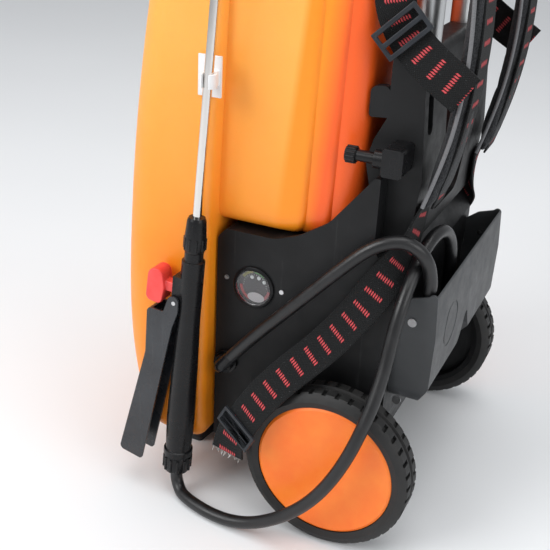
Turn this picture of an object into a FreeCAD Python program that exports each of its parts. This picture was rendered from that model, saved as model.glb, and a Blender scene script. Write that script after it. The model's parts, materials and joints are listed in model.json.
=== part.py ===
import FreeCAD, Part
import math
import os

# Wheeled electric knapsack sprayer, in millimetres.
# X runs along the wheel axle, with +X on the side of the gauge, the hose outlet and the gun.
# +Y points to the wearer's back. Z is up from the floor.
# The origin is the centre of the front foot's floor face.

Vector = FreeCAD.Vector

# Driving dimensions
wheel_radius = 80.0
tyre_width = 34.0
wheel_outer_x = 170.0
axle_y = 150.0
axle_z = wheel_radius
axle_radius = 6.0
running_gap = 0.06
body_gap = 0.3

tank_half_width = 147.0
tank_bottom = 50.0
tank_top = 590.0
tank_wall = 3.0
tank_back = 142.0
shelf_height = 282.0
neck_y = 52.0
neck_radius = 56.0
rocker_tilt = 6.0

base_half_width = 128.0
base_front = 15.5
base_back = 188.0
base_floor = 52.0
base_wall = 3.5

frame_half_width = 108.0
handle_x = 60.0
handle_y = 171.0
handle_outer_radius = 12.5
handle_inner_radius = 10.6
handle_top = 650.0

hose_radius = 6.0
lance_radius = 4.0
webbing_width = 34.0
webbing_thickness = 1.8

gun_foot = Vector(166.0, -5.0, 28.0)
gun_direction = Vector(-10.0, 27.5, 460.0)


# ---------------------------------------------------------------- helpers

def save(name, *solids):
    """Write one node, as a single solid or as a group of separate solids."""
    shape = solids[0] if len(solids) == 1 else Part.makeCompound(list(solids))
    shape.exportStep("parts/" + name + ".step")


def box(low, high):
    size = Vector(*high) - Vector(*low)
    return Part.makeBox(size.x, size.y, size.z, Vector(*low))


def rod(start, end, radius):
    start = Vector(*start)
    run = Vector(*end) - start
    return Part.makeCylinder(radius, run.Length, start, run)


def ring(start, end, outer, inner):
    return rod(start, end, outer).cut(rod(start, end, inner))


def fused(shapes):
    return shapes[0].fuse(list(shapes[1:])).removeSplitter()


def outline(points, place):
    """Closed face from corners (a, b, radius), each corner rounded by its radius."""
    corners = [Vector(a, b, 0) for a, b, _ in points]
    ends = []
    for index, (_, _, radius) in enumerate(points):
        corner = corners[index]
        back = (corners[index - 1] - corner).normalize()
        ahead = (corners[(index + 1) % len(points)] - corner).normalize()
        half = back.getAngle(ahead) / 2
        if radius <= 0:
            ends.append((corner, None, corner))
            continue
        reach = radius / math.tan(half)
        middle = (back + ahead).normalize() * (radius / math.sin(half) - radius)
        ends.append((corner + back * reach, corner + middle, corner + ahead * reach))
    edges = []
    for index, (start, middle, end) in enumerate(ends):
        if middle is not None:
            edges.append(Part.Arc(place(start), place(middle), place(end)).toShape())
        following = ends[(index + 1) % len(ends)][0]
        if (following - end).Length > 1e-6:
            edges.append(Part.LineSegment(place(end), place(following)).toShape())
    return Part.Face(Part.Wire(edges))


def side_prism(points, low_x, high_x):
    """(y, z, radius) outline run along X."""
    face = outline(points, lambda p: Vector(low_x, p.x, p.y))
    return face.extrude(Vector(high_x - low_x, 0, 0))


def rear_prism(points, low_y, high_y):
    """(x, z, radius) outline run along Y."""
    face = outline(points, lambda p: Vector(p.x, low_y, p.y))
    return face.extrude(Vector(0, high_y - low_y, 0))


def plan_prism(points, low_z, high_z):
    """(x, y, radius) outline run along Z."""
    face = outline(points, lambda p: Vector(p.x, p.y, low_z))
    return face.extrude(Vector(0, 0, high_z - low_z))


def lathe(profile, start, axis):
    """Turn (radius, height) points about an axis through start."""
    points = [Vector(radius, 0, height) for radius, height in profile]
    solid = Part.Face(Part.makePolygon(points + points[:1])).revolve(Vector(), Vector(0, 0, 1), 360)
    solid.Placement = FreeCAD.Placement(Vector(*start), FreeCAD.Rotation(Vector(0, 0, 1), Vector(*axis)))
    return solid


def rounded_route(points, report=None):
    """Straight runs joined by tangent arcs, as large as the shorter run of each pair allows."""
    points = [Vector(*point) for point in points]
    edges, start, radii = [], points[0], []
    for before, corner, after in zip(points, points[1:], points[2:]):
        back, ahead = before - corner, after - corner
        reach = 0.45 * min(back.Length, ahead.Length)
        back.normalize()
        ahead.normalize()
        half = back.getAngle(ahead) / 2
        radius = reach * math.tan(half)
        radii.append(round(radius))
        inner = (back + ahead).normalize() * (radius / math.sin(half) - radius)
        arc_start, arc_end = corner + back * reach, corner + ahead * reach
        edges.append(Part.LineSegment(start, arc_start).toShape())
        edges.append(Part.Arc(arc_start, corner + inner, arc_end).toShape())
        start = arc_end
    edges.append(Part.LineSegment(start, points[-1]).toShape())
    if report:
        print(report, "arc radii", radii)
    return Part.Wire(edges)


def pipe(points, radius, report=None):
    path = rounded_route(points, report)
    heading = Vector(*points[1]) - Vector(*points[0])
    section = Part.Wire(Part.makeCircle(radius, Vector(*points[0]), heading))
    solid = path.makePipeShell([section], True, False)
    if report:
        wanted = math.pi * radius ** 2 * path.Length
        print(report, "length", round(path.Length), "volume ratio", round(solid.Volume / wanted, 4))
    return solid


def mirrored(solid):
    return solid.mirror(Vector(), Vector(1, 0, 0))


def both_sides(solid):
    return [solid, mirrored(solid)]


def turned(solid, place, along, normal):
    """Carry a piece drawn with its length on Y and its face on Z to a place on the object."""
    along = Vector(*along).normalize()
    across = along.cross(Vector(*normal)).normalize()
    face = across.cross(along)
    turn = FreeCAD.Rotation(across, along, face, "XYZ")
    moved = solid.copy()
    moved.Placement = FreeCAD.Placement(Vector(*place), turn)
    return moved


def band(stations, width, thickness):
    """Flat strap through stations (point, outward normal)."""
    points = [Vector(*point) for point, _ in stations]
    sections = []
    for index, (_, normal) in enumerate(stations):
        run = points[min(index + 1, len(points) - 1)] - points[max(index - 1, 0)]
        across = run.cross(Vector(*normal)).normalize() * (width / 2)
        out = across.cross(run).normalize() * (thickness / 2)
        middle = points[index]
        corners = [middle + across + out, middle - across + out,
                   middle - across - out, middle + across - out]
        sections.append(Part.makePolygon(corners + corners[:1]))
    return Part.makeLoft(sections, True, True)


# ---------------------------------------------------------------- tank

def lobe_front(z):
    """The front lobe's face: fullest a third of the way up and leaning back above."""
    if z > 190:
        return -85 + 21 * ((z - 190) / 285) ** 2
    return -85 + 13 * ((190 - z) / 115) ** 2


def lobe_rear(z):
    return 13 + 6 * max(z - 285, 0) / 198


def lobe_half_width(z):
    return tank_half_width - 9 * max(z - 200, 0) / 390


def tank_body(bounds, half_width, radii, bottom, top, inset):
    """Loft of rounded rectangles, drawn in by an edge roll at its top and bottom."""
    roll = [(0, 14), (2.5, 8), (7, 3.5), (13, 1), (20, 0), (32, 0)]
    low, high = bottom + inset, top - inset
    ends = [(low + rise, pull) for rise, pull in roll]
    ends += [(high - rise, pull) for rise, pull in reversed(roll)]
    steps = 7
    middles = [low + (high - low) * step / (steps + 1) for step in range(1, steps + 1)]
    levels = sorted(ends + [(z, 0) for z in middles])
    sections = []
    for z, pull in levels:
        front, rear = bounds(z)
        front, rear = front + inset + pull, rear - inset - pull
        half = half_width(z) - inset - pull
        rear_radius = max(radii[1] - inset, 1.5)
        room = rear - front - rear_radius - 2
        front_radius = min(max(radii[0] - inset - pull / 2, 2), room)
        corners = [(-half, front, front_radius), (half, front, front_radius),
                   (half, rear, rear_radius), (-half, rear, rear_radius)]
        face = outline(corners, lambda p: Vector(p.x, p.y, z))
        sections.append(face.OuterWire)
    return Part.makeLoft(sections, True, False)


def tank_shape(inset):
    lobe = tank_body(lambda z: (lobe_front(z), lobe_rear(z)), lobe_half_width,
                     (38, 9), tank_bottom, tank_top, inset)
    shoulders = []
    for step, (rear, lean, half) in enumerate(((98, 6, 124), (120, 5, 121), (tank_back, 0, 118))):
        shoulders.append(tank_body(lambda z: (-20 + 6 * step, rear + lean * (z - 290) / 200), lambda z: half,
                                   (7, 7 if rear < tank_back else 20),
                                   shelf_height + 0.8 * step, tank_top - 4 - 1.5 * step, inset))
    return fused([lobe] + shoulders)


def make_tank():
    neck = (0, neck_y, tank_top - 30)
    neck_top = (0, neck_y, tank_top + 16)
    outer = tank_shape(0).fuse(rod(neck, neck_top, neck_radius))
    inner = tank_shape(tank_wall)
    bore = rod((0, neck_y, tank_top - 40), (0, neck_y, tank_top + 20), neck_radius - 4)
    outlet = rod((95, 0, 80), (95, 20, 80), 9)
    tank = outer.cut(inner).cut(bore).cut(outlet)
    save("tank", tank)


def make_filler():
    rim = tank_top + 16
    washer = ring((0, neck_y, rim + body_gap), (0, neck_y, rim + 3), neck_radius + 1, neck_radius - 5)
    save("lid_seal", washer)
    lid = lathe([(0, 3.4), (neck_radius - 6, 3.4), (neck_radius + 1.6, 3.4), (neck_radius + 1.6, -11),
                 (neck_radius + 6, -11), (neck_radius + 7, -9), (neck_radius + 7, 7),
                 (neck_radius + 3, 11), (30, 13), (8, 13), (8, 16), (0, 16)],
                (0, neck_y, rim), (0, 0, 1))
    grips = []
    for index in range(12):
        angle = math.radians(30 * index)
        reach = neck_radius + 7
        middle = Vector(reach * math.cos(angle), neck_y + reach * math.sin(angle), rim - 9)
        grips.append(Part.makeCylinder(3, 15, middle, Vector(0, 0, 1)))
    save("filler_lid", fused([lid] + grips))
    basket = lathe([(neck_radius - 5, 12), (neck_radius - 6, -50), (30, -62), (0, -62), (0, -60),
                    (29, -60), (neck_radius - 8, -49), (neck_radius - 7, 12)],
                   (0, neck_y, tank_top), (0, 0, 1))
    save("filler_strainer", basket)


def make_tank_outlet():
    stem = ring((95, 6, 80), (95, 34, 80), 8.9, 5.5)
    flange = ring((95, 3.5, 80), (95, 8.2, 80), 13, 5.5)
    nut = ring((95, 19.2, 80), (95, 25, 80), 14, 8.9)
    save("tank_outlet", fused([stem, flange, nut]))


# ---------------------------------------------------------------- base

def base_side():
    return [(base_front, base_floor, 6), (base_front, 270, 8),
            (24, 279, 4), (72, 279, 30), (96, 288, 30),
            (122, 305, 30), (160, 353, 3), (165, 353, 1), (165, 290, 8),
            (182, 262, 8), (base_back, 250, 4), (base_back, 120, 10), (168, base_floor, 8)]


def make_base():
    wall = base_wall
    outer = side_prism(base_side(), -base_half_width, base_half_width)
    room = side_prism([(base_front + wall, base_floor - 10, 0), (base_front + wall, shelf_height - 6, 4),
                       (163, shelf_height - 6, 0), (178, 256, 4), (base_back - wall, 246, 4),
                       (base_back - wall, 124, 8),
                       (160, base_floor - 10, 0)],
                      -base_half_width + wall, base_half_width - wall)
    tank_space = side_prism([(0, shelf_height - 1, 0), (tank_back + 1, shelf_height - 1, 0),
                             (tank_back + 1, 400, 0), (0, 400, 0)],
                            -124.4, 124.4)
    frame_space = box((-frame_half_width - 0.4, tank_back, shelf_height - 1),
                      (frame_half_width + 0.4, 200, 400))
    shell = outer.cut(room).cut(tank_space).cut(frame_space)
    bosses = [ring((side * 100, axle_y, axle_z), (side * (base_half_width + 4), axle_y, axle_z), 14, axle_radius)
              for side in (-1, 1)]
    shell = shell.fuse(bosses)
    shell = shell.cut(rod((-140, axle_y, axle_z), (140, axle_y, axle_z), axle_radius))
    gauge_hole = rod((100, 54, 227), (140, 54, 227), 18.4)
    outlet_hole = rod((100, 28, 142), (140, 28, 142), 8)
    switch_hole = box((-140, 60, 214), (-100, 90, 234))
    socket_hole = rod((-140, 45, 160), (-100, 45, 160), 9)
    suction_hole = rod((95, 10, 80), (95, 20, 80), 9.2)
    screw_holes = [rod((120, y, z), (130, y, z), 2.2) for y, z in gauge_screw_places]
    save("base_housing", shell.cut([gauge_hole, outlet_hole, switch_hole, socket_hole, suction_hole] + screw_holes))


def make_base_floor():
    plate = box((-120, 16, base_floor - 4), (120, 166, base_floor))
    screws = []
    holes = []
    for x in (-108, 108):
        for y in (30, 92, 154):
            holes.append(rod((x, y, base_floor - 5), (x, y, base_floor + 1), 2.2))
            head = rod((x, y, base_floor - 6.2), (x, y, base_floor - 4), 4)
            screws.append(head.fuse(rod((x, y, base_floor - 4), (x, y, base_floor + 8), 2)))
    save("base_floor_plate", plate.cut(holes))
    return screws


def foot_outline(grow):
    """A wide toe under the tank's front and a narrower block behind it."""
    toe, block = 82 + grow, 58 + grow
    front, step, rear = -40 - grow, -24 + grow, 22 + grow
    return [(-toe, front, 5), (toe, front, 5), (toe, step, 4), (block, step + 3, 4), (block, rear, 5),
            (-block, rear, 5), (-block, step + 3, 4), (-toe, step, 4)]


def make_foot():
    body = plan_prism(foot_outline(2), 6, 47.7)
    seat = box((-80, -38, 47.7), (80, 14, 49.8))
    lighten = plan_prism(foot_outline(-3), 12, 44)
    save("front_foot", fused([body, seat]).cut(lighten))
    save("foot_rubber", plan_prism(foot_outline(0), 0, 6))


gauge_screw_places = ((26, 231), (82, 229))


def make_gauge():
    centre_y, centre_z = 54, 227
    shell = lathe([(18.2, 0), (18.2, 22), (20.5, 22), (20.5, 24), (18.6, 24.8), (17.4, 24.8),
                   (17.4, 18), (16.5, 18), (16.5, 2), (0, 2), (0, 0)],
                  (base_half_width - 22, centre_y, centre_z), (1, 0, 0))
    save("gauge_body", shell)
    face_x = base_half_width - 4
    save("gauge_face", rod((face_x, centre_y, centre_z), (face_x + 1, centre_y, centre_z), 17.3))
    save("gauge_lens", rod((face_x + 4, centre_y, centre_z), (face_x + 6, centre_y, centre_z), 17.3))
    screws = []
    for y, z in gauge_screw_places:
        screws.append(rod((base_half_width - 3, y, z), (base_half_width + 1, y, z), 2.2))
    return screws


def make_outlet():
    """Hose outlet: a turned nose through the panel that bends up and back to the hose."""
    centre = (28, 142)
    start = (base_half_width - 14, centre[0], centre[1])
    elbow = pipe([start, (148, centre[0], centre[1]), (148, 42.5, 160)], 6.2)
    flange = rod((base_half_width + 0.2, *centre), (base_half_width + 4, *centre), 12)
    inside_nut = rod((base_half_width - 9, *centre), (base_half_width - 4, *centre), 8.5)
    save("hose_outlet", fused([elbow, flange, inside_nut]))
    save("outlet_nut", ring((base_half_width + 4.2, *centre), (base_half_width + 10, *centre), 9, 6.3))


def make_power():
    rocker = side_prism([(62, 216, 1), (62, 232, 1), (88, 232, 1), (88, 216, 1)],
                        -base_half_width - 3, -base_half_width + 5)
    rocker = rocker.fuse(rod((-base_half_width + 3, 75, 214.5), (-base_half_width + 3, 75, 233.5), 2.5))
    rocker.rotate(Vector(-base_half_width + 3, 75, 224), Vector(0, 0, 1), -rocker_tilt)
    trim = box((-base_half_width - 2.5, 56, 210), (-base_half_width, 94, 238))
    trim = trim.cut(box((-140, 61, 215), (-100, 89, 233)))
    save("switch_bezel", trim)
    save("power_switch", rocker)
    socket = ring((-base_half_width - 2, 45, 160), (-base_half_width + 14, 45, 160), 8.8, 5)
    rim = ring((-base_half_width - 2, 45, 160), (-base_half_width, 45, 160), 12, 5)
    save("charging_socket", socket.fuse(rim))
    cap = rod((-base_half_width - 4.6, 45, 160), (-base_half_width - 2.3, 45, 160), 11)
    tab = box((-base_half_width - 4.6, 39, 168), (-base_half_width - 2.3, 51, 175))
    knuckle = rod((-base_half_width - 3.5, 38, 175), (-base_half_width - 3.5, 52, 175), 1.9)
    save("charging_cap", fused([cap, tab, knuckle]))


def make_insides():
    battery = box((-76, 62, 54), (76, 127, 148))
    terminals = [box((side * 60 - 4, 70, 148), (side * 60 + 4, 78, 154)) for side in (-1, 1)]
    save("battery", fused([battery] + terminals))
    head = box((12, 76, 170), (70, 134, 218))
    save("pump_head", head)
    save("pump_motor", rod((-62, 105, 194), (11.8, 105, 194), 20))
    save("pressure_switch", rod((70.2, 120, 205), (88, 120, 205), 8))
    suction = pipe([(95, 34.5, 80), (95, 48, 80), (96, 54, 100), (96, 70, 145), (94, 90, 176),
                    (84, 92, 182), (70.4, 92, 182)], 6)
    delivery = pipe([(70.4, 92, 204), (84, 92, 204), (98, 84, 196), (98, 52, 166), (98, 29, 144),
                     (104, 28, 142), (113.8, 28, 142)], 5)
    save("pump_hoses", suction, delivery)
    loom = pipe([(60, 74, 154.3), (60, 74, 166), (40, 66, 190), (20, 60, 236), (44, 60, 256), (78, 56, 240),
                 (94, 54, 229), (105.8, 54, 229)], 3)
    save("wiring_loom", loom)


# ---------------------------------------------------------------- hose pocket behind the base

def cover_side(inset):
    return [(base_back + 0.2, 240 - inset, 0), (200, 249, 6), (216, 254, 4), (223 - inset, 264, 4),
            (226 - inset, 215, 60), (225 - inset, 163, 12), (211 - inset, 139 + inset, 14),
            (base_back + 0.2, 127 + inset, 0)]


def cover_rear(inset):
    half = 120 - inset
    rise = inset
    right = [(half, 150 + rise, 16), (88, 133 + rise, 26), (50, 137 + rise, 36), (15, 170 + rise, 26)]
    left = [(-x, z, radius) for x, z, radius in reversed(right)]
    return [(-half, 290, 0), (half, 290, 0)] + right + [(0, 196 + rise, 6)] + left


def make_pocket():
    outer = side_prism(cover_side(0), -120, 120).common(rear_prism(cover_rear(0), 180, 240))
    raised = [(y, z + 20 if z > 200 else z, radius) for y, z, radius in cover_side(2.5)]
    room = side_prism(raised, -117.5, 117.5).common(rear_prism(cover_rear(2.5), 180, 240))
    badge = ring((66, 225, 207), (66, 228, 207), 22, 20)
    screw_holes = [rod((side * 110, y, z), (side * 130, y, z), 2.2)
                   for side in (-1, 1) for y, z in ((204, 227), (198, 146))]
    shell = outer.cut(room)
    shell = shell.cut(screw_holes)
    save("rear_cover", shell.cut(badge))
    screws = []
    for side in (-1, 1):
        for y, z in ((204, 227), (198, 146)):
            head = rod((side * 120.2, y, z), (side * 121.8, y, z), 4)
            screws.append(head.fuse(rod((side * 117, y, z), (side * 120.2, y, z), 2)))
    return screws


# ---------------------------------------------------------------- wheels

def make_wheel(side, name):
    """Tyre, rim and dished disc, turned about the axle from the inner face outwards."""
    inner_x = wheel_outer_x - tyre_width
    start = (side * inner_x, axle_y, axle_z)
    axis = (side, 0, 0)
    radius = wheel_radius
    tyre = lathe([(66, 2), (72, 0), (77, 2), (radius, 5), (radius, 14), (77.5, 15), (77.5, 18),
                  (radius, 19), (radius, 29), (77, 32), (72, 34), (66, 32)], start, axis)
    lugs = []
    for index in range(40):
        angle = math.radians(9 * index)
        for low, high, shift in ((4, 13, 0.0), (21, 30, 4.5)):
            turn = angle + math.radians(shift)
            lug = box((low, -2, radius - 3), (high, 2, radius + 3))
            lug.rotate(Vector(), Vector(1, 0, 0), math.degrees(turn))
            lug.translate(Vector(inner_x, axle_y, axle_z))
            lugs.append(lug if side > 0 else mirrored(lug))
    tyre = tyre.cut(lugs)
    save(name + "_tyre", tyre)
    bore = axle_radius + running_gap
    rim = lathe([(bore, 0), (16, 0), (16, 12), (60, 14), (60, 4), (65.9, 2), (65.9, 27), (60, 27),
                 (60, 17), (16, 16), (16, 25), (bore, 25)], start, axis)
    save(name + "_rim", rim)
    disc = lathe([(0, 27.4), (65.6, 27.4), (65.6, 31), (63, 32.5), (58, 31.6), (40, 30.6), (0, 30)],
                 start, axis)
    save(name + "_disc", disc)
    return ring((side * (base_half_width + 4.2), axle_y, axle_z),
                (side * (inner_x - 0.3), axle_y, axle_z), 11, axle_radius)


def make_running_gear():
    washers = [make_wheel(1, "near_wheel"), make_wheel(-1, "far_wheel")]
    save("axle_washers", *washers)
    reach = wheel_outer_x - tyre_width + 26.6
    axle = rod((-reach, axle_y, axle_z), (reach, axle_y, axle_z), axle_radius)
    save("axle", axle)


# ---------------------------------------------------------------- back frame and pull-out handle

def make_frame():
    side = [(147, shelf_height - 0.5, 3), (151, 306, 20), (149, 337, 16), (143.5, 360, 8), (149, 380, 10),
            (159, 400, 12), (159, 455, 4), (187, 455, 8), (189, 418, 30), (194, 350, 60), (188, 292, 30),
            (186, shelf_height - 0.5, 3)]
    body = side_prism(side, -frame_half_width, frame_half_width)
    window = rear_prism([(-40, 300, 12), (40, 300, 12), (40, 425, 12), (-40, 425, 12)], 130, 200)
    bores = [rod((x, handle_y, 286), (x, handle_y, 470), handle_outer_radius + 0.05)
             for x in (-handle_x, handle_x)]
    slots = [rear_prism([(x - 7, 386, 6), (x + 7, 386, 6), (x + 7, 424, 6), (x - 7, 424, 6)], 180, 200)
             for x in (-90, 90)]
    hollow = [side_prism([(156, 300, 4), (156, 340, 4), (154, 360, 4), (160, 376, 4), (180, 376, 4),
                          (184, 345, 4), (180, 300, 4)], low, high)
              for low, high in ((76, 104), (-104, -76))]
    frame = body.cut([window] + bores + slots + hollow)
    ear = side_prism([(142.6, 398, 3), (142.6, 424, 6), (158, 426, 6), (165, 400, 3)], 100, frame_half_width)
    save("back_frame", fused([frame] + both_sides(ear)))


def make_peg():
    """Side peg that a coiled hose or a lance hangs on, in a box bracket on the frame."""
    x, z = 130, 371
    bracket = side_prism([(167, 359, 3), (167, 383, 3), (185, 383, 4), (185, 359, 4)],
                         frame_half_width + 0.2, x + 9)
    collar = rod((x, 159, z), (x, 168, z), 8)
    bracket = bracket.fuse(collar).cut(rod((x, 150, z), (x, 180, z), 5))
    save("peg_bracket", bracket)
    shaft = rod((x, 142, z), (x, 179, z), 4.9)
    knob = rod((x, 134, z), (x, 143, z), 6.6)
    ribs = [rod((x + 6.6 * math.cos(math.radians(30 * i)), 134.5, z + 6.6 * math.sin(math.radians(30 * i))),
                (x + 6.6 * math.cos(math.radians(30 * i)), 142.5, z + 6.6 * math.sin(math.radians(30 * i))), 1)
            for i in range(12)]
    save("lance_peg", fused([shaft, knob] + ribs))


def make_handle():
    outer_top = 560
    tubes = []
    inner_tubes = []
    for x in (-handle_x, handle_x):
        tubes.append(ring((x, handle_y, 286.2), (x, handle_y, outer_top),
                          handle_outer_radius, handle_inner_radius + 0.3))
        inner_tubes.append(ring((x, handle_y, 292), (x, handle_y, handle_top - 8),
                                handle_inner_radius, handle_inner_radius - 1.2))
    save("handle_outer_tubes", *tubes)
    save("handle_inner_tubes", *inner_tubes)
    bridge = plan_prism([(-112, 158, 6), (112, 158, 6), (112, 186, 8), (-112, 186, 8)], 545, 566)
    bores = [rod((x, handle_y, 540), (x, handle_y, outer_top + 0.1), handle_outer_radius + 0.05)
             for x in (-handle_x, handle_x)]
    guides = [rod((x, handle_y, 540), (x, handle_y, 580), handle_inner_radius + 0.5)
              for x in (-handle_x, handle_x)]
    slots = [plan_prism([(x - 18.5, 176, 1), (x + 18.5, 176, 1), (x + 18.5, 181, 1), (x - 18.5, 181, 1)], 530, 580)
             for x in (-92, 92)]
    save("handle_bridge", bridge.cut(bores + guides + slots))
    grip = plan_prism([(-80, handle_y - 14, 12), (80, handle_y - 14, 12),
                       (80, handle_y + 14, 12), (-80, handle_y + 14, 12)], handle_top - 14, handle_top + 14)
    grip = grip.makeFillet(8, [edge for edge in grip.Edges if abs(edge.BoundBox.ZMin - handle_top - 14) < 0.1
                               and abs(edge.BoundBox.ZMax - handle_top - 14) < 0.1])
    sockets = [rod((x, handle_y, handle_top - 20), (x, handle_y, handle_top - 8), handle_inner_radius)
               for x in (-handle_x, handle_x)]
    pocket = box((-16, handle_y - 8, handle_top), (16, handle_y + 8, handle_top + 20))
    save("handle_grip", grip.cut(sockets + [pocket]))
    button = plan_prism([(-15.4, handle_y - 7.4, 5), (15.4, handle_y - 7.4, 5),
                         (15.4, handle_y + 7.4, 5), (-15.4, handle_y + 7.4, 5)],
                        handle_top + 6, handle_top + 17)
    save("handle_button", button)


# ---------------------------------------------------------------- straps

shoulder_route = [((90, 216, 540), (0, 1, 0.15)), ((90, 222, 480), (0, 1, 0)),
                  ((90, 220, 420), (0, 1, 0)), ((90, 211, 370), (0, 1, -0.2)),
                  ((93, 199, 330), (0, 1, -0.25))]

lower_route = [((95, 196, 326), (0, 1, -0.25)), ((98, 192.2, 308), (0.1, 1, 0)),
               ((109, 191.2, 293), (0.1, 1, 0.1)), ((123, 185, 280), (0.7, 1, 0.3)),
               ((136, 175, 260), (1, 0.35, 0.45)), ((142, 163, 238), (1, -0.1, 0.5)),
               ((149, 138, 202), (1, -0.1, 0.5)), ((157, 119, 181), (1, -0.1, 0.5)),
               ((167, 102, 163), (1, -0.15, 0.4)), ((175, 88, 144), (1, -0.2, 0.35)),
               ((179, 76, 124), (1, -0.2, 0.3)), ((178, 65, 102), (1, -0.2, 0.3)),
               ((168, 56, 86), (0.9, -0.5, 0.2)), ((151, 49, 76), (0.5, -1, 0.2)),
               ((140, 46.6, 73), (0.4, -1, 0.2))]


def make_straps():
    pad = band(shoulder_route, 52, 9)
    save("shoulder_pads", *both_sides(pad))
    hanger = band([((92, 178.5, 538), (0, -1, 0)), ((92, 178.5, 572), (0, -1, 0)),
                   ((92, 184, 584), (0, -0.7, 0.7)), ((92, 194, 584), (0, 0.5, 0.8)),
                   ((91, 207, 562), (0, 1, 0.5)), ((90.5, 214, 543), (0, 1, 0.3))],
                  webbing_width, webbing_thickness)
    save("hanger_webbing", *both_sides(hanger))
    lifter = band([((114.5, 170, 566), (1, 0, 0)), ((114, 158, 530), (1, 0, 0)), ((113, 154, 496), (1, 0, 0.2)),
                   ((112.2, 168, 468), (1, 0, 0.2)), ((115.6, 192, 449), (1, 0, 0.2)),
                   ((119.8, 212, 438), (1, 0, 0.1)), ((120.4, 224, 430), (1, 0, 0))],
                  webbing_width, webbing_thickness)
    save("lifter_webbing", *both_sides(lifter))
    lower = band(lower_route, webbing_width, webbing_thickness)
    save("lower_webbing", *both_sides(lower))


def slider(width, length, thickness, bar):
    """Three-bar slide buckle, drawn flat."""
    frame = box((-width / 2, -length / 2, -thickness / 2), (width / 2, length / 2, thickness / 2))
    window = webbing_width / 2 + 1
    slot = (length - 3 * bar) / 2
    cuts = []
    for low in (-length / 2 + bar, bar / 2):
        cuts.append(box((-window, low, -5), (window, low + slot, 5)))
    frame = frame.cut(cuts)
    return frame


def make_buckles():
    upper = turned(slider(43, 26, 4, 4), (118, 167, 472), (0, 0.7, -0.72), (1, 0, 0.2))
    save("upper_buckles", *both_sides(upper))
    lower = turned(slider(43, 18, 3.4, 3), (181.4, 66.5, 107), (0.02, -0.46, -0.88), (1, -0.2, 0.3))
    save("lower_buckles", *both_sides(lower))
    anchor = side_prism([(36, 62, 4), (36, 84, 4), (60, 84, 4), (60, 62, 4)],
                        base_half_width + 0.2, base_half_width + 6)
    save("strap_anchors", *both_sides(anchor))


# ---------------------------------------------------------------- gun and lance

gun_turn = FreeCAD.Rotation(Vector(0, 0, 1), gun_direction)
gun_place = FreeCAD.Placement(gun_foot, gun_turn)


def on_gun(solid):
    """Carry a piece drawn about a vertical gun axis to where the gun hangs."""
    moved = solid.copy()
    moved.Placement = gun_place.multiply(moved.Placement)
    return moved


def make_gun():
    nut = lathe([(hose_radius + 0.2, 0), (12, 0), (13, 2), (13, 17), (12, 18.8), (hose_radius + 0.2, 18.8)],
                (0, 0, 0), (0, 0, 1))
    ribs = [Part.makeCylinder(1.4, 14, Vector(13 * math.cos(a), 13 * math.sin(a), 2.4))
            for a in (math.radians(30 * i) for i in range(12))]
    save("hose_nut", on_gun(fused([nut] + ribs)))
    body = lathe([(0, 0.05), (5.9, 0.05), (5.9, 19), (14.2, 19), (14.2, 25), (12.6, 26), (13.6, 60), (12.2, 120), (10.6, 170),
                  (10.6, 229), (8.6, 230), (8.6, 238), (0, 238)], (0, 0, 0), (0, 0, 1))
    boss = box((-9, -15, 182), (9, 0, 212))
    body = body.fuse(boss)
    body = body.cut(box((-5.4, -20, 190), (5.4, -7, 206)))
    body = body.cut(rod((-20, -10.5, 187), (20, -10.5, 187), 2.06))
    save("gun_body", on_gun(body))
    save("lever_pin", on_gun(rod((-12.8, -10.5, 187), (12.8, -10.5, 187), 2)))
    outer = side_prism([(-6, 178, 5), (-6, 193, 5), (-16, 193, 5), (-21, 175, 3), (-38, 175, 4),
                        (-37, 128, 20), (-60, 8, 5), (-34, 4, 3), (-17, 120, 20), (-11, 160, 8)], -12.2, 12.2)
    inner = side_prism([(10, 150, 0), (10, 200, 0), (-17, 200, 0), (-35, 171.5, 2), (-34.2, 128.5, 18),
                        (-57, 11, 4), (-34, -6, 0), (-10, 120, 0)], -9.8, 9.8)
    lever = outer.cut(inner).cut(rod((-20, -10.5, 187), (20, -10.5, 187), 2.08))
    save("trigger_lever", on_gun(lever))
    pad = side_prism([(-42.5, 181, 6), (-41, 214, 8), (-27, 214, 7), (-23.5, 196, 6), (-26, 179.5, 5)], -9, 9)
    arm = box((-5, -26, 193), (5, -11.5, 203))
    save("lock_button", on_gun(pad.fuse(arm)))


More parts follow.
